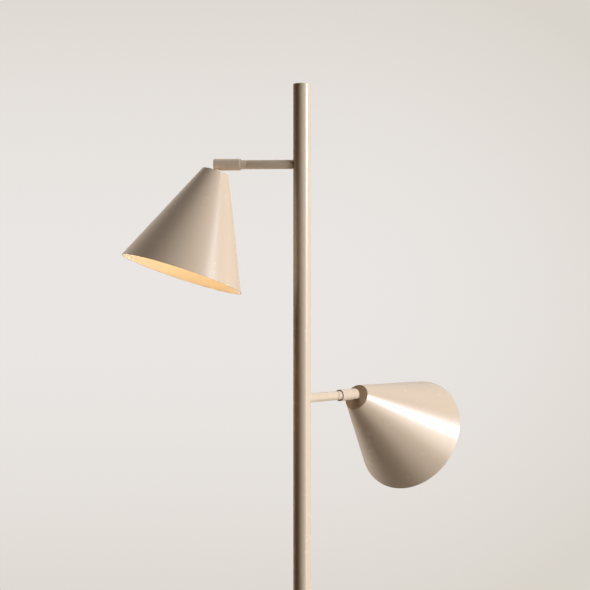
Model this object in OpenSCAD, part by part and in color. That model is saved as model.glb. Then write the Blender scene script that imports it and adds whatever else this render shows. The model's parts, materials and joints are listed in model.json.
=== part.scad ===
// Floor lamp: a slim pole on a round weighted base, with two short side arms.
// Each arm ends in a swivel sleeve that holds a tilting cone shade.
// The pole stands on the origin, +Z is up, and the viewer stands on the -Y side.

/* [Pole] */
// Outside diameter of the pole
pole_d = 19; // [18:0.5:25]
// Wall thickness of the pole tubes
pole_wall = 1.2; // [1:0.1:1.4]
// Height of the whole lamp
lamp_h = 1450; // [1200:10:1700]
// Height of the joint between the two pole sections
pole_joint_h = 730; // [500:10:800]

/* [Arms] */
// Distance from the top of the pole down to the upper arm
upper_arm_drop = 86.3; // [80:0.1:95]
// Vertical distance between the two arms
arm_spacing = 251.3; // [230:0.1:300]
// Distance from the pole's axis to the tilt pivot
arm_reach = 90.5; // [88:0.5:130]
// Outside diameter of the arm tubes
arm_d = 10; // [9.6:0.1:10.2]
// Direction of the upper arm, counted from +X
upper_azimuth = 177; // [165:1:200]
// Direction of the lower arm, counted from +X
lower_azimuth = 51; // [40:0.5:60]

/* [Head positions] */
// Swivel of the upper head about its arm
upper_swivel = 6.7; // [-30:0.1:30]
// Swivel of the lower head about its arm
lower_swivel = 0; // [-30:0.5:30]
// Tilt of the upper shade, counted from straight out along the arm
upper_tilt = 72.5; // [0:0.5:90]
// Tilt of the lower shade, counted from straight out along the arm
lower_tilt = 25; // [0:0.5:90]

/* [Shades] */
// Diameter of the flat small end
shade_top_d = 29.4; // [28.6:0.2:40]
// Diameter of the open rim
shade_rim_d = 134.4; // [124:0.2:140]
// Height from the small end to the rim
shade_h = 116.5; // [110:0.5:130]
// Thickness of the spun metal
shade_wall = 0.9; // [0.7:0.1:1.2]
shade_rim_wall = 1.2; // [0.8:0.1:1.4]

/* [Swivel sleeves] */
// Outside diameter of the sleeve
sleeve_d = 12.7; // [12.7:0.1:13.2]
// Length of the sleeve
sleeve_l = 29; // [28.4:0.1:30]
// Distance from the tilt pivot to the sleeve's open end
sleeve_end = 4.5; // [4.4:0.1:5.5]
// Diameter of the neck that the sleeve turns on
neck_d = 10.2; // [10.2:0.1:10.4]
// Length of neck that shows between groove and sleeve
neck_show = 6.3; // [4:0.1:8]
// Width of the shadow groove between arm and neck
groove_w = 0.5; // [0.5:0.1:1.5]

/* [Tilt joint] */
// Distance from the tilt pivot to the shade's flat end
pivot_to_shade = 8.2; // [8.2:0.1:10]
// Diameter of the ball on the shade's stem
ball_d = 9.6; // [9.6:0.1:9.8]
// Diameter of the stem
stem_d = 6; // [5.4:0.2:6.6]
// Width of the slot that lets the stem swing down
slot_w = 8; // [7.8:0.1:8.2]
// Distance from the sleeve's open end to the end of the slot
slot_l = 9; // [8.8:0.1:10.4]

/* [Base] */
// Diameter of the base cover
base_d = 250; // [220:5:320]
// Height of the base
base_h = 22; // [22:1:30]
// Thickness of the cover's sheet metal
cover_wall = 1.5; // [1:0.1:1.5]
// Rounding of the cover's upper edge
cover_round = 5; // [2:0.5:8]
// Thickness of the felt pad
pad_h = 2; // [1.5:0.1:2]

/* [Lamps] */
// Diameter of the bulb's globe
bulb_d = 45; // [40:1:48]
// Outside diameter of the lampholder
holder_d = 24.8; // [23:0.2:25.4]

/* [Hidden] */
$fn = 96;

// Colours
SAND = [0.76, 0.68, 0.58];
STEEL = [0.62, 0.62, 0.64];
BRASS = [0.78, 0.65, 0.38];
IRON = [0.25, 0.25, 0.26];
BLACK = [0.08, 0.08, 0.08];
NYLON = [0.92, 0.91, 0.87];
OPAL = [1, 0.93, 0.8];

// Which head a sub-part belongs to
UPPER = 0;
LOWER = 1;
arm_z = [lamp_h - upper_arm_drop, lamp_h - upper_arm_drop - arm_spacing];
azimuth = [upper_azimuth, lower_azimuth];
swivel = [upper_swivel, lower_swivel];
tilt = [upper_tilt, lower_tilt];

// Clearances
cut = 1;         // how far a cutter runs past a face
fit = 0.05;      // radial gap of a shaft in its hole
face_gap = 0.05; // gap between faces that turn on each other

// Pole
pole_r = pole_d / 2;
pole_bore_r = pole_r - pole_wall;
plug_r = pole_bore_r - fit;
foot_h = 36;
coupler_l = 70;
coupler_wall = 2.5;
cap_head_h = 1.6;
cap_plug_h = 10;
cap_edge = 0.4;

// Base: a felt pad, a cast weight and a pressed cover over it
base_r = base_d / 2;
weight_r = base_r - cover_round - 0.5;
weight_z1 = base_h - cover_wall;
pad_r = weight_r - 2;
cover_z0 = pad_h + 0.6;
recess_r = 20;
recess_z = weight_z1 - 4;

// Hollow threaded nipple that holds the pole down
nipple_r = 5;
nipple_bore_r = 3.5;
nipple_l = 36;
base_washer_r = 14;
base_washer_t = 2;
base_nut_r = 9;
base_nut_t = 4;
base_nut_z = recess_z - base_washer_t - base_nut_t;
nipple_z = base_nut_z - 0.3;

// Mains cable inside the base and the pole
cable_r = 2;
cable_z = pad_h + 5;
cable_bend = 6;
channel_w = 8;
channel_z = cable_z + 2.5;
inlet_azimuth = 90;
grommet_r = 3.2;
grommet_flange_r = 4.4;
grommet_flange_t = 1;

// Wires from the splice up to the two arms, as points beside the lower arm's anchor
wire_r = 1.5;
wire_sides = 8;
wire_bend = 4;
wire_x = -3.4;
splice_r = 5.5;
splice_l = 24;
splice_z = arm_z[LOWER] - 72;
feed_start = [-3.2, 2.4];
feed_pass = [-5.4, 3.5];
feed_clear = 14;

// Arms: local +X runs out along the arm from the pole's axis
arm_r = arm_d / 2;
arm_bore_r = arm_r - 1;
stud_r = arm_bore_r - fit;
stud_bore_r = 2.2;
stud_x0 = 0.5;
stud_x1 = 22;
anchor_h = 22;
anchor_cut_x = -1.5;

// Swivel joint: places along the arm, from the open end of the sleeve inwards
sleeve_x1 = arm_reach + sleeve_end;
sleeve_x0 = sleeve_x1 - sleeve_l;
neck_x0 = sleeve_x0 - neck_show;
arm_x1 = neck_x0 - groove_w;
spigot_l = 12;
groove_core_r = 3.3;
neck_r = neck_d / 2;
neck_bore_r = 1.7;
barrel_x1 = sleeve_x0 + 6.2;
shaft_r = 2.5;
sleeve_r = sleeve_d / 2;
sleeve_bore_r = neck_r + fit;
edge = 0.3;
lip_edge = 0.1;
lip_r = neck_r + 0.85;
lip_depth = 1.2;

// Swivel joint: friction washer, fork, spring washer and nut on the neck's shaft
swivel_washer_t = 0.5;
swivel_washer_r = neck_r - 0.1;
fork_x0 = barrel_x1 + swivel_washer_t + 2 * face_gap;
fork_base_t = 4;
fork_x1 = sleeve_x1 - 0.5;
fork_r = sleeve_bore_r - 0.03;
cavity_r = 4.4;
cavity_x0 = fork_x0 + fork_base_t;
spring_x0 = cavity_x0 + 2 * face_gap;
spring_t = 0.4;
swivel_nut_x0 = spring_x0 + spring_t;
swivel_nut_t = 2.4;
swivel_nut_r = 4.2;
shaft_x1 = swivel_nut_x0 + swivel_nut_t + 0.4;

// Stop pin in the neck's end face, which runs in an arc in the fork's base
swivel_limit = 160;
stop_radius = 3.85;
stop_pin_r = 0.6;
stop_slot_w = 1.5;
stop_slot_depth = 2;
stop_hole_depth = 2.5;
stop_half_arc = swivel_limit + asin(stop_pin_r / stop_radius) + 1;

// Tilt joint, about the local Y axis at the end of arm_reach
ball_r = ball_d / 2;
ball_flat = 3.55;
ball_gap = 0.2;
pin_r = 1.25;
pin_in = 1.9;
pin_out = 4.75;
tilt_washer_r = 3;
tilt_washer_t = 0.35;
stem_r = stem_d / 2;
stem_bore_r = 1.7;
stem_flange_r = slot_w / 2 - 0.1;
stem_flange_t = 1.2;
wire_way = 1.6;

// Head: local +Z runs from the pivot out through the open rim
shade_z0 = pivot_to_shade;
shade_z1 = shade_z0 + shade_h;
top_r = shade_top_d / 2;
rim_r = shade_rim_d / 2;
slope = (rim_r - top_r) / shade_h;
slant = sqrt(1 + slope * slope);
wall_across = shade_wall * slant;
shade_round = 0.4;
stem_nut_z = shade_z0 + shade_wall + fit;
stem_nut_r = 6.2;
stem_nut_t = 2.8;

// Lampholder and bulb, along the head
holder_z0 = stem_nut_z + stem_nut_t + 0.1;
holder_l = 33;
holder_r = holder_d / 2;
holder_neck_r = 8;
holder_neck_h = 4;
stem_z1 = holder_z0 + 5;
socket_z = stem_z1 + 2.5;
socket_r = 7.6;
shell_r = 7.5;
shell_t = 0.45;
shell_z = socket_z + 0.5;
shell_l = 22;
contact_r = 2.2;
contact_t = 1.5;
cap_z0 = socket_z + 3;
cap_l = 24;
cap_r = 6.6;
cap_cone_h = 2.4;
tip_h = 0.8;
thread_depth = 0.3;
thread_pitch = 2.8;
thread_steps = 6;
bulb_body_z = cap_z0 + cap_l;
bulb_body_h = 16;
bulb_body_r = 9.5;
bulb_r = bulb_d / 2;
globe_neck_r = 16.8;
globe_wall = 1;
globe_z = bulb_body_z + bulb_body_h;
globe_centre = globe_z + sqrt(bulb_r * bulb_r - globe_neck_r * globe_neck_r);

// Points of an arc in a profile
function arc(cx, cy, r, a0, a1, n = 6) =
  [for (k = [0 : n]) let (a = a0 + (a1 - a0) * k / n) [cx + r * cos(a), cy + r * sin(a)]];

// A point turned about the Z axis and set at a height
function turned(p, a, z) = [p[0] * cos(a) - p[1] * sin(a), p[0] * sin(a) + p[1] * cos(a), z];

function unit(v) = v / norm(v);

// A tube from z = 0 to h
module tube(r_out, r_in, h) {
  difference() {
    cylinder(r = r_out, h = h);
    translate([0, 0, -cut]) cylinder(r = r_in, h = h + 2 * cut);
  }
}

// Lays a shape that is drawn up +Z along +X, starting at x
module along_x(x) {
  translate([x, 0, 0]) rotate([0, 90, 0]) children();
}

// Lays a shape that is drawn up +Z along +Y, starting at y
module along_y(y) {
  translate([0, y, 0]) rotate([-90, 0, 0]) children();
}

// A quarter bend in the XZ plane about the local origin, from angle a0 to a0 + 90
module elbow(bend, r, a0) {
  rotate([90, 0, 0]) rotate([0, 0, a0])
    rotate_extrude(angle = 90) translate([bend, 0]) circle(r = r);
}

// A wire with flat sides along points that lie near the local XZ plane
module wire(points) {
  last = len(points) - 1;
  turn = 360 / wire_sides;
  rings = [
    for (k = [0 : last])
      let (along = unit(points[min(k + 1, last)] - points[max(k - 1, 0)]),
           u = unit(cross(along, [0, 1, 0])),
           v = cross(along, u))
      for (s = [0 : wire_sides - 1])
        points[k] + wire_r * (cos(turn * s) * u + sin(turn * s) * v)
  ];
  walls = [
    for (k = [0 : last - 1], s = [0 : wire_sides - 1])
      let (a = k * wire_sides, b = a + wire_sides, next = (s + 1) % wire_sides)
      [a + s, b + s, b + next, a + next]
  ];
  ends = [
    [for (s = [0 : wire_sides - 1]) s],
    [for (s = [0 : wire_sides - 1]) (last + 1) * wire_sides - 1 - s]
  ];
  polyhedron(points = rings, faces = concat(walls, ends));
}

// Frames of an arm, of what swivels on it, and of what tilts with the shade
module in_arm(i) {
  translate([0, 0, arm_z[i]]) rotate([0, 0, azimuth[i]]) children();
}

module in_swivel(i) {
  in_arm(i) rotate([swivel[i], 0, 0]) children();
}

module in_head(i) {
  in_swivel(i) translate([arm_reach, 0, 0]) rotate([0, 90 + tilt[i], 0]) children();
}

// ---- Base ----

module base_pad() {
  color(BLACK) cylinder(r = pad_r, h = pad_h);
}

// Cast disc with a pocket for the nut and a channel for the cable
module base_weight() {
  color(IRON) difference() {
    translate([0, 0, pad_h]) cylinder(r = weight_r, h = weight_z1 - pad_h);
    translate([0, 0, pad_h - cut]) cylinder(r = recess_r, h = recess_z - pad_h + cut);
    cylinder(r = nipple_r + 0.2, h = base_h);
    rotate([0, 0, inlet_azimuth]) translate([0, -channel_w / 2, pad_h - cut])
      cube([base_r, channel_w, channel_z - pad_h + cut]);
  }
}

// Pressed cover with a rounded edge, a hole for the nipple and one for the grommet
module base_cover() {
  round_r = base_r - cover_round;
  round_z = base_h - cover_round;
  color(SAND) difference() {
    rotate_extrude() polygon(concat(
      [[nipple_r + 0.2, base_h]],
      arc(round_r, round_z, cover_round, 90, 0, 10),
      [[base_r, cover_z0], [base_r - cover_wall, cover_z0]],
      arc(round_r, round_z, cover_round - cover_wall, 0, 90, 10),
      [[nipple_r + 0.2, base_h - cover_wall]]
    ));
    rotate([0, 0, inlet_azimuth]) translate([0, 0, cable_z])
      along_x(base_r - 2 * cover_wall) cylinder(r = grommet_r + fit, h = 4 * cover_wall);
  }
}

module base_nipple() {
  color(STEEL) translate([0, 0, nipple_z]) tube(nipple_r, nipple_bore_r, nipple_l);
}

module base_nut() {
  color(STEEL) translate([0, 0, base_nut_z]) difference() {
    cylinder(r = base_nut_r, h = base_nut_t, $fn = 6);
    translate([0, 0, -cut]) cylinder(r = nipple_r + fit, h = base_nut_t + 2 * cut);
  }
}

module base_washer() {
  color(STEEL) translate([0, 0, recess_z - base_washer_t])
    tube(base_washer_r, nipple_r + 0.2, base_washer_t);
}

// Rubber inlet with a flange outside and a lip behind the cover
module cable_grommet() {
  lip_x = base_r - cover_wall - 0.2;
  color(BLACK) rotate([0, 0, inlet_azimuth]) translate([0, 0, cable_z]) difference() {
    union() {
      along_x(base_r + 0.1) cylinder(r = grommet_flange_r, h = grommet_flange_t);
      along_x(lip_x - 1) cylinder(r = grommet_r, h = cover_wall + 1.4);
      along_x(lip_x - 1) cylinder(r = grommet_flange_r - 0.4, h = 0.8);
    }
    along_x(lip_x - 2) cylinder(r = cable_r + fit, h = 8);
  }
}

// ---- Pole ----

module pole_foot() {
  color(STEEL) translate([0, 0, base_h]) tube(plug_r, nipple_r + fit, foot_h);
}

module lower_pole_tube() {
  color(SAND) translate([0, 0, base_h]) tube(pole_r, pole_bore_r, pole_joint_h - base_h);
}

module pole_coupler() {
  color(STEEL) translate([0, 0, pole_joint_h - coupler_l / 2])
    tube(plug_r, plug_r - coupler_wall, coupler_l);
}

module upper_pole_tube() {
  top = lamp_h - cap_head_h;
  color(SAND) difference() {
    translate([0, 0, pole_joint_h]) tube(pole_r, pole_bore_r, top - pole_joint_h);
    for (i = [UPPER, LOWER]) in_arm(i)
      along_x(pole_bore_r / 2) cylinder(r = stud_r + 0.2, h = pole_r);
  }
}

// Cap with a low head as wide as the pole and a plug inside it
module top_cap() {
  color(SAND) translate([0, 0, lamp_h - cap_head_h - cap_plug_h]) {
    cylinder(r = plug_r, h = cap_plug_h + cap_edge);
    translate([0, 0, cap_plug_h]) cylinder(r = pole_r, h = cap_head_h - cap_edge);
    translate([0, 0, cap_plug_h + cap_head_h - cap_edge])
      cylinder(r1 = pole_r, r2 = pole_r - cap_edge, h = cap_edge);
  }
}

// Supply cable: in through the grommet, along the channel and up the pole
module main_cable() {
  start_x = base_r + 0.1 + grommet_flange_t;
  color(BLACK) {
    rotate([0, 0, inlet_azimuth]) {
      translate([0, 0, cable_z]) along_x(cable_bend)
        cylinder(r = cable_r, h = start_x - cable_bend);
      translate([cable_bend, 0, cable_z + cable_bend]) elbow(cable_bend, cable_r, 180);
    }
    translate([0, 0, cable_z + cable_bend])
      cylinder(r = cable_r, h = splice_z - cable_z - cable_bend);
  }
}

module cable_splice() {
  color(BLACK) translate([0, 0, splice_z]) cylinder(r = splice_r, h = splice_l);
}

// Last stretch of both feed wires, in the arm's frame: up, over a bend and out along the arm
arm_stretch = concat(
  [for (a = [180 : -22.5 : 90])
    [wire_x + wire_bend * (1 + cos(a)), 0, wire_bend * (sin(a) - 1)]],
  [[shaft_x1 + 1, 0, 0]]
);

// From the splice past the lower anchor and up to the upper arm
module upper_feed_wire() {
  from_lower = lower_azimuth - upper_azimuth;
  low_z = splice_z + splice_l - arm_z[UPPER];
  pass_z = feed_clear - arm_spacing;
  color(NYLON) in_arm(UPPER) wire(concat([
    turned(feed_start, from_lower, low_z),
    turned(feed_pass, from_lower, low_z + feed_clear),
    turned(feed_pass, from_lower, pass_z),
    [wire_x, 0, -feed_clear]
  ], arm_stretch));
}

module lower_feed_wire() {
  low_z = splice_z + splice_l - arm_z[LOWER];
  color(NYLON) in_arm(LOWER) wire(concat([
    [0, -1.5, low_z],
    [wire_x, 0, low_z + 2 * feed_clear]
  ], arm_stretch));
}

// ---- Arm, fixed to the pole ----

// Half-round block inside the pole that the arm's stud screws into
module arm_anchor(i) {
  color(STEEL) in_arm(i) difference() {
    translate([0, 0, -anchor_h / 2]) cylinder(r = plug_r, h = anchor_h);
    translate([anchor_cut_x - pole_r, -pole_r, -anchor_h])
      cube([pole_r, pole_d, 2 * anchor_h]);
    along_x(-pole_r) cylinder(r = stud_r + fit, h = pole_d);
  }
}

module arm_stud(i) {
  color(STEEL) in_arm(i) along_x(stud_x0) tube(stud_r, stud_bore_r, stud_x1 - stud_x0);
}

// Arm tube, its inner end shaped to sit on the pole
module arm_tube(i) {
  color(SAND) in_arm(i) difference() {
    along_x(pole_r / 2) tube(arm_r, arm_bore_r, arm_x1 - pole_r / 2);
    translate([0, 0, -pole_r]) cylinder(r = pole_r + 0.02, h = pole_d);
  }
}

// Turned neck: plug, groove, barrel that the sleeve turns on, and shaft
module swivel_neck(i) {
  color(SAND) in_arm(i) difference() {
    union() {
      along_x(arm_x1 - spigot_l) cylinder(r = stud_r, h = spigot_l);
      along_x(arm_x1 - cut) cylinder(r = groove_core_r, h = groove_w + 2 * cut);
      along_x(neck_x0) cylinder(r1 = neck_r - edge, r2 = neck_r, h = edge);
      along_x(neck_x0 + edge) cylinder(r = neck_r, h = barrel_x1 - neck_x0 - edge);
      along_x(barrel_x1 - cut) cylinder(r = shaft_r, h = shaft_x1 - barrel_x1 + cut);
    }
    along_x(arm_x1 - spigot_l - cut)
      cylinder(r = neck_bore_r, h = shaft_x1 - arm_x1 + spigot_l + 2 * cut);
    translate([0, 0, stop_radius]) along_x(barrel_x1 - stop_hole_depth)
      cylinder(r = stop_pin_r + 0.02, h = stop_hole_depth + cut);
  }
}

module swivel_washer(i) {
  color(NYLON) in_arm(i) difference() {
    along_x(barrel_x1 + 0.01) tube(swivel_washer_r, shaft_r + fit, swivel_washer_t);
    translate([0, 0, stop_radius]) along_x(barrel_x1 - cut)
      cylinder(r = stop_pin_r + fit, h = 3 * cut);
  }
}

module swivel_spring(i) {
  color(STEEL) in_arm(i) along_x(spring_x0) tube(swivel_nut_r, shaft_r + fit, spring_t);
}

module swivel_nut(i) {
  color(BRASS) in_arm(i)
    along_x(swivel_nut_x0) tube(swivel_nut_r, shaft_r + 0.02, swivel_nut_t);
}

module stop_pin(i) {
  color(STEEL) in_arm(i) translate([0, 0, stop_radius])
    along_x(barrel_x1 - stop_hole_depth + 0.1)
      cylinder(r = stop_pin_r, h = stop_hole_depth + fork_x0 - barrel_x1 + 1.4);
}

// ---- What swivels on the arm ----

// Sleeve with a recess round the neck and a slot from its open end along the underside
module sleeve(i) {
  color(SAND) in_swivel(i) difference() {
    union() {
      along_x(sleeve_x0) cylinder(r1 = sleeve_r - lip_edge, r2 = sleeve_r, h = lip_edge);
      along_x(sleeve_x0 + lip_edge) cylinder(r = sleeve_r, h = sleeve_l - edge - lip_edge);
      along_x(sleeve_x1 - edge) cylinder(r1 = sleeve_r, r2 = sleeve_r - edge, h = edge);
    }
    along_x(sleeve_x0 - cut) cylinder(r = sleeve_bore_r, h = sleeve_l + 2 * cut);
    along_x(sleeve_x0 - cut) cylinder(r = lip_r, h = lip_depth + cut);
    translate([sleeve_x1 - slot_l + slot_w / 2, 0, -sleeve_d]) {
      cylinder(r = slot_w / 2, h = sleeve_d);
      translate([0, -slot_w / 2, 0]) cube([slot_l, slot_w, sleeve_d]);
    }
  }
}

// Fork pressed into the sleeve: base on the neck's shaft, two cheeks for the pins
module fork(i) {
  mouth_x = arm_reach - ball_r - ball_gap;
  color(IRON) in_swivel(i) difference() {
    along_x(fork_x0) cylinder(r = fork_r, h = fork_x1 - fork_x0);
    along_x(fork_x0 - cut) cylinder(r = shaft_r + fit, h = fork_base_t + 2 * cut);
    along_x(cavity_x0) cylinder(r = cavity_r, h = fork_x1 - cavity_x0 + cut);
    translate([mouth_x, -slot_w / 2, -fork_r - cut])
      cube([fork_x1, slot_w, 2 * (fork_r + cut)]);
    translate([arm_reach, 0, 0]) along_y(-sleeve_r) cylinder(r = pin_r + 0.02, h = sleeve_d);
    along_x(fork_x0 - cut) rotate([0, 0, 180 - stop_half_arc])
      rotate_extrude(angle = 2 * stop_half_arc)
        translate([stop_radius - stop_slot_w / 2, 0]) square([stop_slot_w, stop_slot_depth + cut]);
  }
}

module pivot_pins(i) {
  color(STEEL) in_swivel(i) translate([arm_reach, 0, 0]) for (side = [0, 1])
    mirror([0, side, 0]) along_y(pin_in) cylinder(r = pin_r, h = pin_out - pin_in);
}

module tilt_washers(i) {
  color(NYLON) in_swivel(i) translate([arm_reach, 0, 0]) for (side = [0, 1])
    mirror([0, side, 0]) along_y(ball_flat + 0.04) tube(tilt_washer_r, pin_r + fit, tilt_washer_t);
}

// ---- Head, which tilts ----

// Ball between the cheeks and a hollow stem that carries the shade
module knuckle(i) {
  color(SAND) in_head(i) difference() {
    union() {
      intersection() {
        sphere(r = ball_r);
        cube([2 * ball_d, 2 * ball_flat, 2 * ball_d], center = true);
      }
      cylinder(r = stem_r, h = stem_z1);
      translate([0, 0, shade_z0 - stem_flange_t]) cylinder(r = stem_flange_r, h = stem_flange_t);
    }
    cylinder(r = stem_bore_r, h = stem_z1 + cut);
    translate([-wire_way, -wire_way, -ball_d])
      cube([ball_d, 2 * wire_way, ball_d + wire_way]);
    for (side = [0, 1]) mirror([0, side, 0]) along_y(pin_in - fit)
      cylinder(r = pin_r + 0.03, h = ball_d);
  }
}

// Spun cone with a closed small end and an open rim, where the wall is a little thicker
module shade(i) {
  corner_r = top_r + shade_round * (slope - slant);
  color(SAND) in_head(i) rotate_extrude() polygon(concat(
    [[stem_r + fit, shade_z0]],
    arc(corner_r, shade_z0 + shade_round, shade_round, -90, -atan(slope)),
    [
      [rim_r, shade_z1],
      [rim_r - shade_rim_wall * slant, shade_z1],
      [top_r - wall_across + slope * shade_wall, shade_z0 + shade_wall],
      [stem_r + fit, shade_z0 + shade_wall]
    ]
  ));
}

module stem_nut(i) {
  color(STEEL) in_head(i) translate([0, 0, stem_nut_z]) difference() {
    cylinder(r = stem_nut_r, h = stem_nut_t, $fn = 6);
    translate([0, 0, -cut]) cylinder(r = stem_r + 0.02, h = stem_nut_t + 2 * cut);
  }
}

module lampholder(i) {
  color(BLACK) in_head(i) translate([0, 0, holder_z0]) difference() {
    union() {
      cylinder(r = holder_neck_r, h = holder_neck_h + cut);
      translate([0, 0, holder_neck_h]) cylinder(r = holder_r, h = holder_l - holder_neck_h);
    }
    translate([0, 0, -cut]) cylinder(r = stem_r + fit, h = stem_z1 - holder_z0 + cut + 0.2);
    cylinder(r = stem_bore_r, h = holder_l);
    translate([0, 0, socket_z - holder_z0]) cylinder(r = socket_r, h = holder_l);
  }
}

// Threaded shell and centre contact of the lampholder
module socket_contacts(i) {
  color(BRASS) in_head(i) {
    translate([0, 0, shell_z]) tube(shell_r, shell_r - shell_t, shell_l);
    translate([0, 0, socket_z]) cylinder(r = contact_r, h = contact_t);
  }
}

// Screw cap of the bulb, with its rounded thread and centre tip
module bulb_cap(i) {
  turns = floor((cap_l - cap_cone_h - 2) / thread_pitch);
  thread = [
    for (k = [0 : turns * thread_steps])
      [cap_r + thread_depth * sin(360 * k / thread_steps),
       cap_z0 + cap_cone_h + 1 + thread_pitch * k / thread_steps]
  ];
  color(STEEL) in_head(i) {
    translate([0, 0, cap_z0 - tip_h]) cylinder(r = contact_r, h = tip_h + cut);
    rotate_extrude() polygon(concat(
      [[0, cap_z0], [contact_r + 0.4, cap_z0], [cap_r, cap_z0 + cap_cone_h]],
      thread,
      [[cap_r, cap_z0 + cap_l], [0, cap_z0 + cap_l]]
    ));
  }
}

module bulb_body(i) {
  color(NYLON) in_head(i) translate([0, 0, bulb_body_z])
    cylinder(r1 = bulb_body_r, r2 = globe_neck_r, h = bulb_body_h);
}

module bulb_globe(i) {
  color(OPAL) in_head(i) difference() {
    translate([0, 0, globe_centre]) sphere(r = bulb_r);
    translate([0, 0, globe_centre]) sphere(r = bulb_r - globe_wall);
    translate([0, 0, globe_z - bulb_d]) cylinder(r = bulb_r + cut, h = bulb_d);
  }
}

module head_wire(i) {
  color(NYLON) in_head(i) translate([0, 0, 0.5]) cylinder(r = wire_r, h = socket_z - 0.5);
}

base_pad();
base_weight();
base_cover();
base_nipple();
base_nut();
base_washer();
cable_grommet();
pole_foot();
lower_pole_tube();
pole_coupler();
upper_pole_tube();
top_cap();
main_cable();
cable_splice();
upper_feed_wire();
lower_feed_wire();
arm_anchor(UPPER);  // upper_arm_anchor
arm_stud(UPPER);  // upper_arm_stud
arm_tube(UPPER);  // upper_arm_tube
swivel_neck(UPPER);  // upper_swivel_neck
swivel_washer(UPPER);  // upper_swivel_washer
swivel_spring(UPPER);  // upper_swivel_spring
swivel_nut(UPPER);  // upper_swivel_nut
stop_pin(UPPER);  // upper_stop_pin
sleeve(UPPER);  // upper_sleeve
fork(UPPER);  // upper_fork
pivot_pins(UPPER);  // upper_pivot_pins
tilt_washers(UPPER);  // upper_tilt_washers
knuckle(UPPER);  // upper_knuckle
shade(UPPER);  // upper_shade
stem_nut(UPPER);  // upper_stem_nut
lampholder(UPPER);  // upper_lampholder
socket_contacts(UPPER);  // upper_socket_contacts
bulb_cap(UPPER);  // upper_bulb_cap
bulb_body(UPPER);  // upper_bulb_body
bulb_globe(UPPER);  // upper_bulb_globe
head_wire(UPPER);  // upper_head_wire
arm_anchor(LOWER);  // lower_arm_anchor
arm_stud(LOWER);  // lower_arm_stud
arm_tube(LOWER);  // lower_arm_tube
swivel_neck(LOWER);  // lower_swivel_neck
swivel_washer(LOWER);  // lower_swivel_washer
swivel_spring(LOWER);  // lower_swivel_spring
swivel_nut(LOWER);  // lower_swivel_nut
stop_pin(LOWER);  // lower_stop_pin
sleeve(LOWER);  // lower_sleeve
fork(LOWER);  // lower_fork
pivot_pins(LOWER);  // lower_pivot_pins
tilt_washers(LOWER);  // lower_tilt_washers
knuckle(LOWER);  // lower_knuckle
shade(LOWER);  // lower_shade
stem_nut(LOWER);  // lower_stem_nut
lampholder(LOWER);  // lower_lampholder
socket_contacts(LOWER);  // lower_socket_contacts
bulb_cap(LOWER);  // lower_bulb_cap
bulb_body(LOWER);  // lower_bulb_body
bulb_globe(LOWER);  // lower_bulb_globe
head_wire(LOWER);  // lower_head_wire
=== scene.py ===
import json
import math

import bpy
import bmesh
from mathutils import Matrix, Vector

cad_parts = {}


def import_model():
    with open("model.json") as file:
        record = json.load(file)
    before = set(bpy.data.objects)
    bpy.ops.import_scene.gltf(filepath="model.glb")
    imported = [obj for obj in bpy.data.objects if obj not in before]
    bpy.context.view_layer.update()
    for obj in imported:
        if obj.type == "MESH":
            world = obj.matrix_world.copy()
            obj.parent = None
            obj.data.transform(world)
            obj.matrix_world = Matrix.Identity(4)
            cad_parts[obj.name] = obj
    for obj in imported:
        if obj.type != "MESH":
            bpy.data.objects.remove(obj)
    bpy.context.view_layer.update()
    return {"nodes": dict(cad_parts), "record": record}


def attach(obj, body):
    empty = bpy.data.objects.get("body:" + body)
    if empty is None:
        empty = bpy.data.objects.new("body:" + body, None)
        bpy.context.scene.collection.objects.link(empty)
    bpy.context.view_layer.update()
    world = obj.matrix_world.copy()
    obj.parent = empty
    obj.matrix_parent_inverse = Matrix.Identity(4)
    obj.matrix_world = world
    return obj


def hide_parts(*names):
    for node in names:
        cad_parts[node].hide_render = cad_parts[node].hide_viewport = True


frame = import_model()

MM = 0.001
UPPER, LOWER = 0, 1
NAMES = ("upper", "lower")

# The part's own measures, in millimetres and degrees
POLE_R, POLE_BORE = 9.5, 8.3
LAMP_H, POLE_JOINT, BASE_H, BASE_R = 1450.0, 730.0, 22.0, 125.0
COVER_WALL, COVER_LOW, COVER_HOLE_R = 1.5, 2.6, 5.2
CAP_THICK, CAP_DEPTH, CAP_PLUG_FIT = 1.6, 11.6, 0.05
ARM_Z = (1363.7, 1112.4)
AZIMUTH = (177.0, 51.0)
SWIVEL = (6.7, 0.0)
TILT = (72.5, 25.0)
REACH = 90.5
ARM_R, ARM_BORE, ARM_END = 5.0, 4.0, 59.2
NECK_START, BARREL_END, SHAFT_END = 59.7, 72.2, 80.1
NECK_BORE, SHAFT_R, GROOVE_R, PLUG_R, BARREL_R, PLUG_DEPTH = 1.7, 2.5, 3.3, 3.95, 5.1, 12
SLEEVE_START, SLEEVE_END, SLEEVE_R, SLEEVE_BORE = 66.0, 95.0, 6.35, 5.15
LIP_R, LIP_DEPTH = 5.95, 1.2
SLOT_CENTRE, SLOT_HALF = 90.0, 4.0
SHADE_TOP_Z, SHADE_RIM_Z, SHADE_TOP_R, SHADE_RIM_R = 8.2, 124.7, 14.7, 67.2
SHADE_WALL, SHADE_RIM_WALL, STEM_HOLE_R = 0.9, 1.2, 3.05
HOLDER_LOW, HOLDER_HIGH, HOLDER_R, HOLDER_NECK_R = 12.05, 45.05, 12.4, 8
HOLDER_BORE, HOLDER_FLOOR, FLUTES, FLUTE_DEPTH = 7.6, 19.55, 24, 0.022
BULB_LOW, BULB_SEAT, BULB_FOOT_R, BULB_NECK_R = 46.55, 62.55, 9.5, 16.8
GLOBE_R, GLOBE_WALL = 22.5, 1


# ---- Frames of the arms, of what swivels and of what tilts ----

def move(x, y, z):
    return Matrix.Translation((x, y, z))


def turn(axis, degrees):
    return Matrix.Rotation(math.radians(degrees), 4, axis)


ALONG_X = turn("Y", 90)


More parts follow.
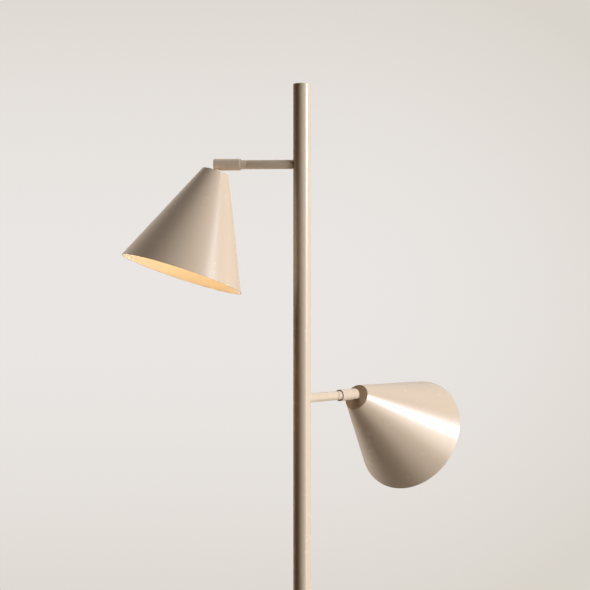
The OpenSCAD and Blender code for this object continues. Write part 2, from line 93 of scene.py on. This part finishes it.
def arm_frame(i):
    return move(0, 0, ARM_Z[i]) @ turn("Z", AZIMUTH[i])


def swivel_frame(i):
    return arm_frame(i) @ turn("X", SWIVEL[i])


def head_frame(i):
    return swivel_frame(i) @ move(REACH, 0, 0) @ turn("Y", 90 + TILT[i])


# ---- Meshes ----

SHARP_ANGLE, SHARP_COS = 40, 0.77  # an edge is sharp from this angle, or below this cosine


def finish_piece(obj, body, slot, nodes, *materials):
    for material in materials:
        obj.data.materials.append(material)
    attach(obj, body)
    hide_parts(*nodes)


def new_object(name, mesh):
    obj = bpy.data.objects.new(name, mesh)
    bpy.context.scene.collection.objects.link(obj)
    return obj


def soften(points, radii, loop=True, steps=5):
    """Rounds the corners of a profile. radii has one radius for each point."""
    out = []
    count = len(points)
    for k, (point, radius) in enumerate(zip(points, radii)):
        p = Vector(point)
        if radius <= 0 or (not loop and k in (0, count - 1)):
            out.append((p.x, p.y))
            continue
        to_last = (Vector(points[k - 1]) - p).normalized()
        to_next = (Vector(points[(k + 1) % count]) - p).normalized()
        half = to_last.angle(to_next) / 2
        reach = radius / math.tan(half)
        middle = p + (to_last + to_next).normalized() * (radius / math.sin(half))
        a, b = p + to_last * reach - middle, p + to_next * reach - middle
        start = math.atan2(a.y, a.x)
        sweep = (math.atan2(b.y, b.x) - start + math.pi) % math.tau - math.pi
        for s in range(steps + 1):
            angle = start + sweep * s / steps
            out.append((middle.x + radius * math.cos(angle), middle.y + radius * math.sin(angle)))
    return out


def revolve(name, profile, place, steps=128, loop=True, shape=None, band=None):
    """Turns a profile of (radius, height) about Z. Counter-clockwise profiles face outwards.
    shape moves single points, and band gives each stretch of the profile its material."""
    count = len(profile)
    rings, points = [], []
    for r, z in profile:
        if r < 1e-6:
            rings.append([len(points)] * steps)
            points.append(Vector((0, 0, z)))
            continue
        rings.append(range(len(points), len(points) + steps))
        for s in range(steps):
            a = math.tau * s / steps
            p = Vector((r * math.cos(a), r * math.sin(a), z))
            points.append(shape(p, r, a) if shape else p)
    stretches = count if loop else count - 1
    edges = [Vector(profile[(k + 1) % count]) - Vector(profile[k]) for k in range(stretches)]
    flats = [Vector((e.y, -e.x)).normalized() for e in edges]

    def at_corner(k, other):
        """The profile's normal on stretch k, at the end that it shares with stretch other."""
        if not loop and not 0 <= other < stretches:
            return flats[k]
        other %= stretches
        if flats[k].dot(flats[other]) < SHARP_COS:
            return flats[k]
        return (flats[k] * edges[k].length + flats[other] * edges[other].length).normalized()

    faces, normals, bands = [], [], []
    for k in range(stretches):
        low, high = rings[k], rings[(k + 1) % count]
        if low[0] == low[1] and high[0] == high[1]:
            continue
        n_low, n_high = at_corner(k, k - 1), at_corner(k, k + 1)
        for s in range(steps):
            t = (s + 1) % steps
            a, b = math.tau * s / steps, math.tau * (s + 1) / steps
            corners = [(low[s], a, n_low), (low[t], b, n_low), (high[t], b, n_high), (high[s], a, n_high)]
            if low[s] == low[t]:
                del corners[1]
            elif high[s] == high[t]:
                del corners[2]
            faces.append([c[0] for c in corners])
            normals += [(n.x * math.cos(g), n.x * math.sin(g), n.y) for _, g, n in corners]
            bands.append(band(k) if band else 0)
    mesh = bpy.data.meshes.new(name)
    turned = place.to_3x3()
    mesh.from_pydata([(place @ p) * MM for p in points], [], faces)
    mesh.polygons.foreach_set("use_smooth", [True] * len(faces))
    mesh.polygons.foreach_set("material_index", bands)
    if shape:
        mesh.set_sharp_from_angle(angle=math.radians(SHARP_ANGLE))
    else:
        mesh.normals_split_custom_set([turned @ Vector(n) for n in normals])
    mesh.update()
    return new_object(name, mesh)


def slotted_sleeve(name, place):
    """A tube along X, with a recess in its near end and a round-ended slot from its far end
    along the underside. The bore and the recess take the second material, a dark painted shade."""
    steps, slot_turns, edge, lip_edge = 96, 12, 0.3, 0.1
    x_slot, x_lip = SLOT_CENTRE - SLOT_HALF, SLEEVE_START + LIP_DEPTH
    # Each station: x, outer radius, inner radius and half the slot's width
    stations = [(SLEEVE_START, SLEEVE_R - lip_edge, LIP_R, 0.0),
                (SLEEVE_START + lip_edge, SLEEVE_R, LIP_R, 0.0),
                (x_lip, SLEEVE_R, LIP_R, 0.0),
                (x_lip + 0.02, SLEEVE_R, SLEEVE_BORE, 0.0),
                (x_slot - 6, SLEEVE_R, SLEEVE_BORE, 0.0),
                (x_slot - 1, SLEEVE_R, SLEEVE_BORE, 0.0)]
    for s in range(slot_turns + 1):
        a = math.radians(90 * s / slot_turns)
        stations.append((SLOT_CENTRE - SLOT_HALF * math.cos(a), SLEEVE_R, SLEEVE_BORE,
                         SLOT_HALF * math.sin(a)))
    stations += [(SLOT_CENTRE + 2.5, SLEEVE_R, SLEEVE_BORE, SLOT_HALF),
                 (SLEEVE_END - edge, SLEEVE_R, SLEEVE_BORE, SLOT_HALF),
                 (SLEEVE_END, SLEEVE_R - edge, SLEEVE_BORE + edge / 2, SLOT_HALF)]
    points, faces = [], []
    for x, outer, inner, half in stations:
        for r in (outer, inner):
            gap = math.asin(half / r)
            for s in range(steps + 1):
                a = gap + (math.tau - 2 * gap) * s / steps
                points.append(Vector((x, r * math.sin(a), -r * math.cos(a))))
    row = steps + 1

    def at(k, side, s):
        return (2 * k + side) * row + s

    last, bore = len(stations) - 1, []
    for k in range(last):
        for s in range(steps):
            faces.append([at(k, 0, s), at(k + 1, 0, s), at(k + 1, 0, s + 1), at(k, 0, s + 1)])
            bore.append([at(k, 1, s + 1), at(k + 1, 1, s + 1), at(k + 1, 1, s), at(k, 1, s)])
        if stations[k + 1][3] > 0:
            faces.append([at(k, 0, 0), at(k, 1, 0), at(k + 1, 1, 0), at(k + 1, 0, 0)])
            faces.append([at(k, 1, steps), at(k, 0, steps), at(k + 1, 0, steps), at(k + 1, 1, steps)])
    for s in range(steps):
        faces.append([at(0, 0, s), at(0, 0, s + 1), at(0, 1, s + 1), at(0, 1, s)])
        faces.append([at(last, 0, s + 1), at(last, 0, s), at(last, 1, s), at(last, 1, s + 1)])
    bm = bmesh.new()
    verts = [bm.verts.new((place @ p) * MM) for p in points]
    # Index 1 paints the bore and its recess dark, as painted shade.
    for index, group in enumerate((faces, bore)):
        for face in group:
            bm.faces.new([verts[v] for v in face]).material_index = index
    bmesh.ops.remove_doubles(bm, verts=bm.verts, dist=1e-7)
    bmesh.ops.recalc_face_normals(bm, faces=bm.faces)
    mesh = bpy.data.meshes.new(name)
    bm.to_mesh(mesh)
    bm.free()
    mesh.polygons.foreach_set("use_smooth", [True] * len(mesh.polygons))
    obj = new_object(name, mesh)
    bevel = obj.modifiers.new("edges", "BEVEL")
    bevel.width, bevel.segments = 0.12 * MM, 2
    bevel.limit_method, bevel.angle_limit = "ANGLE", math.radians(50)
    obj.modifiers.new("normals", "WEIGHTED_NORMAL").keep_sharp = True
    return obj


# ---- Materials ----

def make_material(name, colour, roughness, metallic=0.0, tint=0.03, tint_scale=9.0,
                  rough_spread=0.04, grain=1400.0, grain_height=0.004, **sockets):
    """A material with a little variation in colour and roughness, and a fine bump.
    grain is in waves per metre, and grain_height in millimetres."""
    material = bpy.data.materials.new(name)
    material.use_nodes = True
    nodes, links = material.node_tree.nodes, material.node_tree.links
    shader = nodes["Principled BSDF"]
    shader.inputs["Metallic"].default_value = metallic
    for socket, value in sockets.items():
        shader.inputs[socket.replace("_", " ")].default_value = value
    place = nodes.new("ShaderNodeTexCoord")

    def noise(scale, detail):
        n = nodes.new("ShaderNodeTexNoise")
        n.inputs["Scale"].default_value = scale
        n.inputs["Detail"].default_value = detail
        links.new(place.outputs["Object"], n.inputs["Vector"])
        return n.outputs["Fac"]

    blend = nodes.new("ShaderNodeMix")
    blend.data_type = "RGBA"
    blend.inputs["A"].default_value = (*[c * (1 - tint) for c in colour], 1)
    blend.inputs["B"].default_value = (*[min(1, c * (1 + tint)) for c in colour], 1)
    links.new(noise(tint_scale, 3), blend.inputs["Factor"])
    links.new(blend.outputs["Result"], shader.inputs["Base Color"])
    spread = nodes.new("ShaderNodeMapRange")
    spread.inputs["To Min"].default_value = roughness - rough_spread
    spread.inputs["To Max"].default_value = roughness + rough_spread
    links.new(noise(60.0, 4), spread.inputs["Value"])
    links.new(spread.outputs["Result"], shader.inputs["Roughness"])
    bump = nodes.new("ShaderNodeBump")
    bump.inputs["Strength"].default_value = 1
    bump.inputs["Distance"].default_value = grain_height * MM
    links.new(noise(grain, 2), bump.inputs["Height"])
    links.new(bump.outputs["Normal"], shader.inputs["Normal"])
    return material


LACQUER = make_material("sand_lacquer", (0.70, 0.56, 0.42), 0.27, tint=0.012, rough_spread=0.012,
                        grain_height=0.0012, Specular_IOR_Level=0.65)
ENAMEL = make_material("cream_enamel", (0.86, 0.82, 0.74), 0.26, tint=0.01, rough_spread=0.01,
                       grain_height=0.0005)
STEEL = make_material("steel", (0.58, 0.57, 0.56), 0.33, metallic=1.0, tint=0.04, grain_height=0.003)
BRASS = make_material("brass", (0.72, 0.53, 0.26), 0.3, metallic=1.0, tint=0.05, grain_height=0.003)
# Cast iron. Inside the sleeves the same dark material is painted shade.
IRON_AND_PAINTED_SHADE = make_material("cast_iron", (0.05, 0.05, 0.052), 0.72, tint=0.2, tint_scale=80.0,
                     grain=700.0, grain_height=0.12)
FELT = make_material("felt", (0.035, 0.035, 0.036), 0.95, tint=0.3, tint_scale=900.0, grain=2200.0,
                     grain_height=0.25, Sheen_Weight=0.4, Sheen_Roughness=0.6)
RUBBER = make_material("black_rubber", (0.022, 0.022, 0.022), 0.62, tint=0.1, grain_height=0.02)
PLASTIC = make_material("black_plastic", (0.028, 0.027, 0.026), 0.42, tint=0.08, grain_height=0.012)
NYLON = make_material("white_nylon", (0.82, 0.80, 0.74), 0.45, tint=0.02, grain_height=0.006)
SHEATH = make_material("wire_sheath", (0.80, 0.78, 0.73), 0.4, tint=0.02, grain_height=0.006)
OPAL = make_material("opal_glass", (0.95, 0.90, 0.80), 0.25, tint=0.01, grain_height=0.001,
                     Emission_Color=(1.0, 0.66, 0.33, 1), Emission_Strength=10.9)

CAD_LOOKS = {"sand_lacquer": LACQUER, "steel": STEEL, "brass": BRASS, "cast_iron": IRON_AND_PAINTED_SHADE, "felt": FELT,
             "black_rubber": RUBBER, "black_plastic": PLASTIC, "white_nylon": NYLON,
             "wire_sheath": SHEATH, "opal_glass": OPAL}
for sub in frame["record"]["subparts"]:
    node = frame["nodes"][sub["node"]]
    for k in range(len(node.material_slots)):
        node.material_slots[k].material = CAD_LOOKS[sub["material_slot"]]


# ---- Base and pole ----

def base_cover():
    """Pressed cover with a rounded upper edge."""
    rim, under = BASE_R - COVER_WALL, BASE_H - COVER_WALL
    profile = soften(
        [(COVER_HOLE_R, under), (rim, under), (rim, COVER_LOW), (BASE_R, COVER_LOW),
         (BASE_R, BASE_H), (COVER_HOLE_R, BASE_H)],
        [0, 3.5, 0.3, 0.5, 5, 0.2], steps=12)
    obj = revolve("base_cover_skin", profile, Matrix.Identity(4), steps=256)
    finish_piece(obj, "stand", "sand_lacquer", ["base_cover"], LACQUER)


def pole_tube(name, low, high, edge, node):
    profile = soften([(POLE_R, low), (POLE_R, high), (POLE_BORE, high), (POLE_BORE, low)],
                     [edge, edge, 0.1, 0.1], steps=4)
    obj = revolve(name, profile, Matrix.Identity(4), steps=192)
    finish_piece(obj, "stand", "sand_lacquer", [node], LACQUER)


def top_cap():
    """Low cap with a plug in the pole's end."""
    plug, seat, foot = POLE_BORE - CAP_PLUG_FIT, LAMP_H - CAP_THICK, LAMP_H - CAP_DEPTH
    profile = soften(
        [(0, foot), (plug, foot), (plug, seat), (POLE_R, seat), (POLE_R, LAMP_H), (0, LAMP_H)],
        [0, 0.5, 0, 0.12, 0.5, 0], loop=False)
    obj = revolve("pole_cap", profile, Matrix.Identity(4), steps=192, loop=False)
    finish_piece(obj, "stand", "sand_lacquer", ["top_cap"], LACQUER)


# ---- Arms ----

def arm_tube(i):
    """The tube's inner end follows the pole's round wall."""
    start, seat_gap = 8.6, 0.02

    def seat(p, _r, _a):
        if p.z > start + 0.5:
            return p
        return Vector((p.x, p.y, math.sqrt((POLE_R + seat_gap) ** 2 - p.y ** 2)))

    profile = soften([(ARM_R, start), (ARM_R, ARM_END), (ARM_BORE, ARM_END), (ARM_BORE, start)],
                     [0, 0.25, 0.1, 0], steps=4)
    name = NAMES[i] + "_arm"
    obj = revolve(name, profile, arm_frame(i) @ ALONG_X, steps=96, shape=seat)
    finish_piece(obj, "stand", "sand_lacquer", [NAMES[i] + "_arm_tube"], LACQUER)


def swivel_neck(i):
    """Plug, shadow groove, barrel under the sleeve, and the hollow shaft."""
    profile = soften(
        [(NECK_BORE, ARM_END - PLUG_DEPTH), (PLUG_R, ARM_END - PLUG_DEPTH), (PLUG_R, ARM_END),
         (GROOVE_R, ARM_END), (GROOVE_R, NECK_START), (BARREL_R, NECK_START), (BARREL_R, BARREL_END),
         (SHAFT_R, BARREL_END), (SHAFT_R, SHAFT_END), (NECK_BORE, SHAFT_END)],
        [0.1, 0.3, 0, 0.1, 0.1, 0.3, 0.2, 0.1, 0.15, 0.1], steps=4)
    name = NAMES[i] + "_neck"
    obj = revolve(name, profile, arm_frame(i) @ ALONG_X, steps=96)
    finish_piece(obj, "stand", "sand_lacquer", [NAMES[i] + "_swivel_neck"], LACQUER)


def sleeve(i):
    name = NAMES[i] + "_swivel_sleeve"
    obj = slotted_sleeve(name, swivel_frame(i))
    # The dark second material in the bore and recess is painted shade.
    finish_piece(obj, NAMES[i] + "_swivel", "sand_lacquer", [NAMES[i] + "_sleeve"], LACQUER, IRON_AND_PAINTED_SHADE)


# ---- Heads ----

def shade(i):
    """Spun cone, lacquered outside and cream inside. Its wall is a little thicker at the rim."""
    slope = (SHADE_RIM_R - SHADE_TOP_R) / (SHADE_RIM_Z - SHADE_TOP_Z)
    slant = math.sqrt(1 + slope * slope)
    across = SHADE_WALL * slant
    inner_top = SHADE_TOP_R - across + slope * SHADE_WALL
    corners = [(STEM_HOLE_R, SHADE_TOP_Z), (SHADE_TOP_R, SHADE_TOP_Z), (SHADE_RIM_R, SHADE_RIM_Z),
               (SHADE_RIM_R - SHADE_RIM_WALL * slant, SHADE_RIM_Z),
               (inner_top, SHADE_TOP_Z + SHADE_WALL), (STEM_HOLE_R, SHADE_TOP_Z + SHADE_WALL)]
    turns = 4
    profile = soften(corners, [0, 0.4, 0.2, 0.2, 0.4, 0], steps=turns)
    inner_from = 3 * (turns + 1)  # the profile's last point on the rim
    name = NAMES[i] + "_shade_cone"
    obj = revolve(name, profile, head_frame(i), steps=360,
                  band=lambda k: 1 if inner_from <= k < len(profile) - 1 else 0)
    finish_piece(obj, NAMES[i] + "_head", "sand_lacquer", [NAMES[i] + "_shade"], LACQUER, ENAMEL)


def lampholder(i):
    """Moulded lampholder with grip flutes round its skirt."""
    low, high = HOLDER_LOW, HOLDER_HIGH

    def flute(p, r, a):
        if r < HOLDER_R - 0.4 or not low + 8 < p.z < high - 5:
            return p
        scale = 1 - FLUTE_DEPTH * (0.5 - 0.5 * math.cos(FLUTES * a))
        return Vector((p.x * scale, p.y * scale, p.z))

    profile = soften(
        [(STEM_HOLE_R, low), (HOLDER_NECK_R, low), (HOLDER_NECK_R, low + 4), (HOLDER_R, low + 4),
         (HOLDER_R, low + 7.9), (HOLDER_R, low + 8.6), (HOLDER_R, high - 5.6), (HOLDER_R, high - 4.9),
         (HOLDER_R, high), (HOLDER_BORE, high), (HOLDER_BORE, HOLDER_FLOOR), (STEM_HOLE_R, HOLDER_FLOOR)],
        [0.1, 0.6, 0.6, 1.4, 0, 0, 0, 0, 0.8, 0.5, 0, 0])
    name = NAMES[i] + "_holder"
    obj = revolve(name, profile, head_frame(i), steps=240, shape=flute)
    finish_piece(obj, NAMES[i] + "_head", "black_plastic", [NAMES[i] + "_lampholder"], PLASTIC)


def bulb(i):
    """White body that widens to the neck of the opal globe."""
    low, high, rows = BULB_LOW, BULB_SEAT, 8
    centre = high + math.sqrt(GLOBE_R ** 2 - BULB_NECK_R ** 2)
    foot = soften([(BULB_FOOT_R - 1, low), (BULB_FOOT_R, low), (BULB_FOOT_R + 0.7, low + 1.6)],
                  [0, 0.5, 0], loop=False, steps=4)[:-1]
    side = [(BULB_FOOT_R + (BULB_NECK_R - BULB_FOOT_R) * s / rows, low + (high - low) * s / rows)
            for s in range(1, rows + 1)]
    profile = [(0, low), *foot, *side, (0, high)]
    name = NAMES[i] + "_bulb_housing"
    obj = revolve(name, profile, head_frame(i), steps=128, loop=False)
    finish_piece(obj, NAMES[i] + "_head", "white_nylon", [NAMES[i] + "_bulb_body"], NYLON)

    def ball(r, turns):
        low_angle = -math.asin((centre - high) / r)
        return [(r * math.cos(a), centre + r * math.sin(a))
                for a in [low_angle + (math.pi / 2 - low_angle) * s / turns for s in range(turns)]]

    outer = ball(GLOBE_R, 40)
    inner = ball(GLOBE_R - GLOBE_WALL, 40)
    profile = [*outer, (0, centre + GLOBE_R), (0, centre + GLOBE_R - GLOBE_WALL), *inner[::-1], outer[0]]
    name = NAMES[i] + "_bulb_glass"
    obj = revolve(name, profile, head_frame(i), steps=128, loop=False)
    finish_piece(obj, NAMES[i] + "_head", "opal_glass", [NAMES[i] + "_bulb_globe"], OPAL)


base_cover()
pole_tube("pole_lower_section", BASE_H, POLE_JOINT, 0.25, "lower_pole_tube")
pole_tube("pole_upper_section", POLE_JOINT, LAMP_H - CAP_THICK, 0.12, "upper_pole_tube")
top_cap()
for i in (UPPER, LOWER):
    arm_tube(i)
    swivel_neck(i)
    sleeve(i)
    shade(i)
    lampholder(i)
    bulb(i)


# ---- Floor, world, light and camera ----

FLOOR_R = 2.6
FLOOR_FADE = (0.35, 1.7)  # where the floor starts to fade and where it is gone, from the pole
FLOOR_SEEN = (0.78, 0.755, 0.725)
FLOOR_TO_LAMP = (0.16, 0.145, 0.13, 1)  # darker, so that the undersides stay dim


def floor():
    """A pale floor that keeps the lamp's shadow and fades out into the wall."""
    bpy.ops.mesh.primitive_circle_add(vertices=128, radius=FLOOR_R, fill_type="NGON", location=(0, 0, 0))
    obj = bpy.context.object
    obj.name = "floor"
    paint = make_material("floor_paint", FLOOR_SEEN, 0.7, tint=0.004, grain_height=0.0005)
    nodes, links = paint.node_tree.nodes, paint.node_tree.links
    out = nodes["Material Output"]
    dim = nodes.new("ShaderNodeBsdfDiffuse")
    dim.inputs["Color"].default_value = FLOOR_TO_LAMP
    path = nodes.new("ShaderNodeLightPath")
    mix = nodes.new("ShaderNodeMixShader")
    links.new(path.outputs["Is Diffuse Ray"], mix.inputs["Fac"])
    links.new(nodes["Principled BSDF"].outputs["BSDF"], mix.inputs[1])
    links.new(dim.outputs["BSDF"], mix.inputs[2])
    place = nodes.new("ShaderNodeTexCoord")
    length = nodes.new("ShaderNodeVectorMath")
    length.operation = "LENGTH"
    links.new(place.outputs["Object"], length.inputs[0])
    fade = nodes.new("ShaderNodeMapRange")
    fade.interpolation_type = "SMOOTHERSTEP"
    fade.inputs["From Min"].default_value, fade.inputs["From Max"].default_value = FLOOR_FADE
    links.new(length.outputs["Value"], fade.inputs["Value"])
    clear = nodes.new("ShaderNodeBsdfTransparent")
    edge = nodes.new("ShaderNodeMixShader")
    links.new(fade.outputs["Result"], edge.inputs["Fac"])
    links.new(mix.outputs["Shader"], edge.inputs[1])
    links.new(clear.outputs["BSDF"], edge.inputs[2])
    links.new(edge.outputs["Shader"], out.inputs["Surface"])
    obj.data.materials.append(paint)


# Soft glows round the lamp: the direction of each, and the light that comes from there
GLOWS = (((0.0, 0.62, 0.78), (1.02, 0.96, 0.87)), ((-0.2, 0.75, -0.6), (0.86, 0.78, 0.66)),
         ((-0.8, 0.6, 0.0), (0.24, 0.16, 0.13)), ((0.8, 0.1, -0.35), (0.6, 0.575, 0.54)))
AMBIENT = (0.033, 0.022, 0.01)
GLOW_EDGE = (0.5, 0.95)  # cosines of the angles at which a glow starts and is full
MIRRORED_WALL = (0.92, 0.98)  # the same for the wall behind the lamp, as glossy rays see it
# The wall's colour holds painted shade: it goes from WALL_PALE towards WALL_DIM upwards, downwards and to
# the right.
WALL_PALE, WALL_DIM = (0.823, 0.792, 0.768, 1), (0.703, 0.663, 0.604, 1)
WALL_FALL_UP, WALL_FALL_RIGHT = 20.8, 13.7


def world():
    """The camera sees a pale wall, with painted shade that darkens it upwards, downwards and to the
    right. The lamp is lit by soft glows behind and beside it.
    """
    w = bpy.data.worlds.new("studio")
    bpy.context.scene.world = w
    w.use_nodes = True
    nodes, links = w.node_tree.nodes, w.node_tree.links
    nodes.clear()
    out = nodes.new("ShaderNodeOutputWorld")
    place = nodes.new("ShaderNodeTexCoord")
    split = nodes.new("ShaderNodeSeparateXYZ")
    links.new(place.outputs["Generated"], split.inputs["Vector"])

    def maths(operation, a, b):
        n = nodes.new("ShaderNodeMath")
        n.operation = operation
        for socket, value in zip(n.inputs, (a, b)):
            if isinstance(value, float):
                socket.default_value = value
            else:
                links.new(value, socket)
        return n.outputs["Value"]

    def near(direction, edge):
        """1 towards a direction and 0 away from it, with the two cosines of the edge between."""
        dot = nodes.new("ShaderNodeVectorMath")
        dot.operation = "DOT_PRODUCT"
        dot.inputs[1].default_value = Vector(direction).normalized()
        links.new(place.outputs["Generated"], dot.inputs[0])
        step = nodes.new("ShaderNodeMapRange")
        step.interpolation_type = "SMOOTHSTEP"
        step.inputs["From Min"].default_value, step.inputs["From Max"].default_value = edge
        links.new(dot.outputs["Value"], step.inputs["Value"])
        return step.outputs["Result"]

    around = nodes.new("ShaderNodeBackground")
    light = None
    for direction, colour in GLOWS:
        glow = nodes.new("ShaderNodeVectorMath")
        glow.operation = "MULTIPLY_ADD"
        links.new(near(direction, GLOW_EDGE), glow.inputs[0])
        glow.inputs[1].default_value = colour
        if light:
            links.new(light, glow.inputs[2])
        else:
            glow.inputs[2].default_value = AMBIENT
        light = glow.outputs["Vector"]
    links.new(light, around.inputs["Color"])

    up = maths("ABSOLUTE", split.outputs["Z"], 0.0)
    right = maths("MAXIMUM", split.outputs["X"], 0.0)
    fall = maths("ADD", maths("MULTIPLY", maths("POWER", up, 2.0), WALL_FALL_UP),
                 maths("MULTIPLY", maths("POWER", right, 2.0), WALL_FALL_RIGHT))
    shade_of_wall = nodes.new("ShaderNodeMix")
    shade_of_wall.data_type = "RGBA"
    shade_of_wall.inputs["A"].default_value = WALL_PALE
    shade_of_wall.inputs["B"].default_value = WALL_DIM
    links.new(fall, shade_of_wall.inputs["Factor"])
    wall = nodes.new("ShaderNodeBackground")
    links.new(shade_of_wall.outputs["Result"], wall.inputs["Color"])

    path = nodes.new("ShaderNodeLightPath")
    mirrored = maths("MULTIPLY", path.outputs["Is Glossy Ray"], near((0.0, 1.0, 0.0), MIRRORED_WALL))
    direct = maths("MAXIMUM", path.outputs["Is Camera Ray"], path.outputs["Is Transmission Ray"])
    seen = maths("MAXIMUM", direct, mirrored)
    mix = nodes.new("ShaderNodeMixShader")
    links.new(seen, mix.inputs["Fac"])
    links.new(around.outputs["Background"], mix.inputs[1])
    links.new(wall.outputs["Background"], mix.inputs[2])
    links.new(mix.outputs["Shader"], out.inputs["Surface"])


SOFTBOX_DISTANCE, SOFTBOX_AIM = 2.7, (0, 0, 1.25)


def softbox(name, azimuth, elevation, width, height, power, colour):
    """An area light that faces the upper part of the lamp. Azimuth 0 is on the camera's side."""
    a, e = math.radians(azimuth), math.radians(elevation)
    towards = Vector((math.sin(a) * math.cos(e), -math.cos(a) * math.cos(e), math.sin(e)))
    data = bpy.data.lights.new(name, "AREA")
    data.shape, data.size, data.size_y, data.energy = "RECTANGLE", width, height, power
    data.color = colour
    obj = bpy.data.objects.new(name, data)
    obj.location = Vector(SOFTBOX_AIM) + towards * SOFTBOX_DISTANCE
    obj.rotation_euler = towards.to_track_quat("Z", "Y").to_euler()
    bpy.context.scene.collection.objects.link(obj)


SENSOR, IMAGE_PX, FOCAL_PX = 36, 590, 1528.2
CAMERA_AT = (-0.00746, -1.64, 1.2235)


def camera():
    data = bpy.data.cameras.new("photo_camera")
    data.sensor_width = SENSOR
    data.lens = SENSOR * FOCAL_PX / IMAGE_PX
    data.clip_end = 50
    obj = bpy.data.objects.new("photo_camera", data)
    obj.location = CAMERA_AT
    obj.rotation_euler = (math.pi / 2, 0, 0)
    bpy.context.scene.collection.objects.link(obj)
    bpy.context.scene.camera = obj


floor()
world()
softbox("key", 67, 14.5, 1.05, 0.85, 54.5, (0.955, 1.0, 1.1))
softbox("low_fill", 61.5, -11, 0.78, 1.86, 25, (1.04, 1.0, 0.93))
softbox("high_fill", 74, 28, 0.78, 0.62, 8.5, (0.955, 1.0, 1.1))
camera()
bpy.context.scene.view_settings.view_transform = "Standard"
